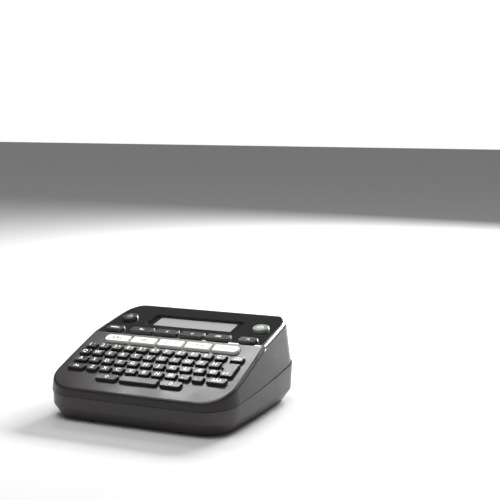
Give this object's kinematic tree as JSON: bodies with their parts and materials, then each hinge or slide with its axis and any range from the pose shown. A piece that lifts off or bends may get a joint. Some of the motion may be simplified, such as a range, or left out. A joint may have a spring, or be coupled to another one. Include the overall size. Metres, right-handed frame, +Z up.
{
  "type": "label maker",
  "caption": "Desktop label maker with a sloping keyboard, a display under a gloss panel, a base cover over cells and tape cassette, and a side cutter lever.",
  "frame": {"origin": "centre of the overall footprint, on the surface that the feet stand on", "axes": "+Z up, keyboard towards -Y, +X to the user's right"},
  "size_m": [0.1552, 0.148, 0.065],
  "materials": {
    "shell_top": "fine textured charcoal",
    "shell_base": "fine textured charcoal",
    "gloss_black": "polished",
    "window": "clear, slightly smoked",
    "lcd": "reflective grey-green display",
    "key_dark": "satin",
    "key_white": "satin",
    "key_print": "satin green-grey",
    "foot_rubber": "matt",
    "steel": "brushed",
    "aluminium": "satin",
    "board_green": "solder mask",
    "silicone": "matt",
    "cell": "printed sleeve",
    "contact": "nickel plated",
    "motor_can": "zinc plated",
    "gear_white": "acetal",
    "inner_black": "matt",
    "cassette_grey": "satin",
    "label_tape": "smooth",
    "ribbon": "film",
    "ceramic": "glazed",
    "platen_rubber": "ground"
  },
  "bodies": {
    "case": {"lower_case": "shell_base", "upper_case": "shell_top", "display_panel": "gloss_black", "display_window": "window", "lcd_module": "lcd", "keyboard_mat": "silicone", "keyboard_board": "board_green", "function_mat": "silicone", "display_board": "board_green", "rubber_feet": "foot_rubber", "case_screws": "steel", "batteries": "cell", "battery_tray": "inner_black", "battery_contacts": "contact", "dc_jack": "inner_black", "mech_frame": "inner_black", "drive_motor": "motor_can", "print_head": "ceramic", "head_heatsink": "aluminium", "cutter_anvil": "steel", "cassette_upper": "cassette_grey", "cassette_lower": "cassette_grey", "label_strip": "label_tape"},
    "base_cover": {"tape_cover": "shell_base"},
    "cutter": {"cutter_lever": "shell_base", "cutter_blade": "steel"},
    "platen": {"platen_gear": "gear_white", "platen_rubber": "platen_rubber"},
    "reduction": {"reduction_gear": "gear_white"},
    "pinion": {"motor_pinion": "gear_white"},
    "takeup": {"takeup_gear": "gear_white", "takeup_spool": "ribbon"},
    "tape_reel": {"tape_core": "gear_white", "tape_roll": "label_tape"},
    "ribbon_reel": {"ribbon_spool": "ribbon"},
    "number_row_keys": {"number_row_keys": "key_dark"},
    "top_row_keys": {"top_row_keys": "key_dark"},
    "home_row_keys": {"home_row_keys": "key_dark"},
    "bottom_row_keys": {"bottom_row_keys": "key_dark"},
    "backspace_key_cap": {"backspace_key": "key_dark"},
    "enter_key_cap": {"enter_key": "key_dark"},
    "caps_key_cap": {"caps_key": "key_dark"},
    "accent_key_cap": {"accent_key": "key_dark"},
    "left_shift_key_cap": {"left_shift_key": "key_dark"},
    "space_key_cap": {"space_key": "key_dark"},
    "right_shift_key_cap": {"right_shift_key": "key_dark"},
    "text_key_cap": {"text_key": "key_white"},
    "frame_key_cap": {"frame_key": "key_white"},
    "symbol_key_cap": {"symbol_key": "key_white"},
    "settings_key_cap": {"settings_key": "key_white"},
    "library_key_cap": {"library_key": "key_white"},
    "escape_key_cap": {"escape_key": "key_dark"},
    "left_key_cap": {"left_key": "key_dark"},
    "right_key_cap": {"right_key": "key_dark"},
    "ok_key_cap": {"ok_key": "key_dark"},
    "menu_key_cap": {"menu_key": "key_dark"},
    "preview_key_cap": {"preview_key": "key_dark"},
    "power_key_cap": {"power_key": "key_dark"},
    "print_key_cap": {"print_key": "key_print"}
  },
  "joints": [
    {"name": "cover_hinge", "type": "hinge", "parent": "case", "child": "base_cover", "pos_m": [0, -0.054, 0.0028], "axis": [-1, 0, 0], "range_deg": [0, 90]},
    {"name": "cutter_pivot", "type": "hinge", "parent": "case", "child": "cutter", "pos_m": [-0.0695, 0.037, 0.017], "axis": [0, 0, 1], "range_deg": [0, 22], "stiffness_Nm_per_rad": 0.08, "springref_deg": -5.73},
    {"name": "platen_spin", "type": "hinge", "parent": "case", "child": "platen", "pos_m": [-0.032, 0.0387, 0.014], "axis": [0, 0, 1], "continuous": true},
    {"name": "reduction_spin", "type": "hinge", "parent": "case", "child": "reduction", "pos_m": [-0.03609, 0.02806, 0.027], "axis": [0, 0, 1], "continuous": true},
    {"name": "pinion_spin", "type": "hinge", "parent": "case", "child": "pinion", "pos_m": [-0.051, 0.0235, 0.027], "axis": [0, 0, 1], "continuous": true},
    {"name": "takeup_spin", "type": "hinge", "parent": "case", "child": "takeup", "pos_m": [-0.02597, 0.01957, 0.014], "axis": [0, 0, 1], "continuous": true},
    {"name": "tape_reel_spin", "type": "hinge", "parent": "case", "child": "tape_reel", "pos_m": [0.016, 0.023, 0.013], "axis": [0, 0, 1], "continuous": true},
    {"name": "ribbon_reel_spin", "type": "hinge", "parent": "case", "child": "ribbon_reel", "pos_m": [-0.006, 0.052, 0.013], "axis": [0, 0, 1], "continuous": true},
    {"name": "number_row_keys_press", "type": "slide", "parent": "case", "child": "number_row_keys", "axis": [0, 0.3487, -0.9373], "range_m": [0, 0.0013], "stiffness_N_per_m": 300, "springref_m": -0.001},
    {"name": "top_row_keys_press", "type": "slide", "parent": "case", "child": "top_row_keys", "axis": [0, 0.3487, -0.9373], "range_m": [0, 0.0013], "stiffness_N_per_m": 300, "springref_m": -0.001},
    {"name": "home_row_keys_press", "type": "slide", "parent": "case", "child": "home_row_keys", "axis": [0, 0.3487, -0.9373], "range_m": [0, 0.0013], "stiffness_N_per_m": 300, "springref_m": -0.001},
    {"name": "bottom_row_keys_press", "type": "slide", "parent": "case", "child": "bottom_row_keys", "axis": [0, 0.3487, -0.9373], "range_m": [0, 0.0013], "stiffness_N_per_m": 300, "springref_m": -0.001},
    {"name": "backspace_key_press", "type": "slide", "parent": "case", "child": "backspace_key_cap", "axis": [0, 0.3487, -0.9373], "range_m": [0, 0.0013], "stiffness_N_per_m": 300, "springref_m": -0.001},
    {"name": "enter_key_press", "type": "slide", "parent": "case", "child": "enter_key_cap", "axis": [0, 0.3487, -0.9373], "range_m": [0, 0.0013], "stiffness_N_per_m": 300, "springref_m": -0.001},
    {"name": "caps_key_press", "type": "slide", "parent": "case", "child": "caps_key_cap", "axis": [0, 0.3487, -0.9373], "range_m": [0, 0.0013], "stiffness_N_per_m": 300, "springref_m": -0.001},
    {"name": "accent_key_press", "type": "slide", "parent": "case", "child": "accent_key_cap", "axis": [0, 0.3487, -0.9373], "range_m": [0, 0.0013], "stiffness_N_per_m": 300, "springref_m": -0.001},
    {"name": "left_shift_key_press", "type": "slide", "parent": "case", "child": "left_shift_key_cap", "axis": [0, 0.3487, -0.9373], "range_m": [0, 0.0013], "stiffness_N_per_m": 300, "springref_m": -0.001},
    {"name": "space_key_press", "type": "slide", "parent": "case", "child": "space_key_cap", "axis": [0, 0.3487, -0.9373], "range_m": [0, 0.0013], "stiffness_N_per_m": 300, "springref_m": -0.001},
    {"name": "right_shift_key_press", "type": "slide", "parent": "case", "child": "right_shift_key_cap", "axis": [0, 0.3487, -0.9373], "range_m": [0, 0.0013], "stiffness_N_per_m": 300, "springref_m": -0.001},
    {"name": "text_key_press", "type": "slide", "parent": "case", "child": "text_key_cap", "axis": [0, 0.3487, -0.9373], "range_m": [0, 0.0013], "stiffness_N_per_m": 300, "springref_m": -0.001},
    {"name": "frame_key_press", "type": "slide", "parent": "case", "child": "frame_key_cap", "axis": [0, 0.3487, -0.9373], "range_m": [0, 0.0013], "stiffness_N_per_m": 300, "springref_m": -0.001},
    {"name": "symbol_key_press", "type": "slide", "parent": "case", "child": "symbol_key_cap", "axis": [0, 0.3487, -0.9373], "range_m": [0, 0.0013], "stiffness_N_per_m": 300, "springref_m": -0.001},
    {"name": "settings_key_press", "type": "slide", "parent": "case", "child": "settings_key_cap", "axis": [0, 0.3487, -0.9373], "range_m": [0, 0.0013], "stiffness_N_per_m": 300, "springref_m": -0.001},
    {"name": "library_key_press", "type": "slide", "parent": "case", "child": "library_key_cap", "axis": [0, 0.3487, -0.9373], "range_m": [0, 0.0013], "stiffness_N_per_m": 300, "springref_m": -0.001},
    {"name": "escape_key_press", "type": "slide", "parent": "case", "child": "escape_key_cap", "axis": [0, 0.1961, -0.9806], "range_m": [0, 0.0013], "stiffness_N_per_m": 300, "springref_m": -0.001},
    {"name": "left_key_press", "type": "slide", "parent": "case", "child": "left_key_cap", "axis": [0, 0.1961, -0.9806], "range_m": [0, 0.0013], "stiffness_N_per_m": 300, "springref_m": -0.001},
    {"name": "right_key_press", "type": "slide", "parent": "case", "child": "right_key_cap", "axis": [0, 0.1961, -0.9806], "range_m": [0, 0.0013], "stiffness_N_per_m": 300, "springref_m": -0.001},
    {"name": "ok_key_press", "type": "slide", "parent": "case", "child": "ok_key_cap", "axis": [0, 0.1961, -0.9806], "range_m": [0, 0.0013], "stiffness_N_per_m": 300, "springref_m": -0.001},
    {"name": "menu_key_press", "type": "slide", "parent": "case", "child": "menu_key_cap", "axis": [0, 0.1961, -0.9806], "range_m": [0, 0.0013], "stiffness_N_per_m": 300, "springref_m": -0.001},
    {"name": "preview_key_press", "type": "slide", "parent": "case", "child": "preview_key_cap", "axis": [0, 0.1961, -0.9806], "range_m": [0, 0.0013], "stiffness_N_per_m": 300, "springref_m": -0.001},
    {"name": "power_key_press", "type": "slide", "parent": "case", "child": "power_key_cap", "axis": [0, 0.1961, -0.9806], "range_m": [0, 0.0013], "stiffness_N_per_m": 300, "springref_m": -0.001},
    {"name": "print_key_press", "type": "slide", "parent": "case", "child": "print_key_cap", "axis": [0, 0.1961, -0.9806], "range_m": [0, 0.0013], "stiffness_N_per_m": 300, "springref_m": -0.001}
  ],
  "couplings": [
    {"joint": "platen_spin", "follows": "reduction_spin", "ratio": -0.58333},
    {"joint": "pinion_spin", "follows": "reduction_spin", "ratio": -3.3333},
    {"joint": "takeup_spin", "follows": "reduction_spin", "ratio": -0.46667},
    {"joint": "tape_reel_spin", "follows": "reduction_spin", "ratio": -0.13889},
    {"joint": "ribbon_reel_spin", "follows": "reduction_spin", "ratio": 0.58333}
  ]
}
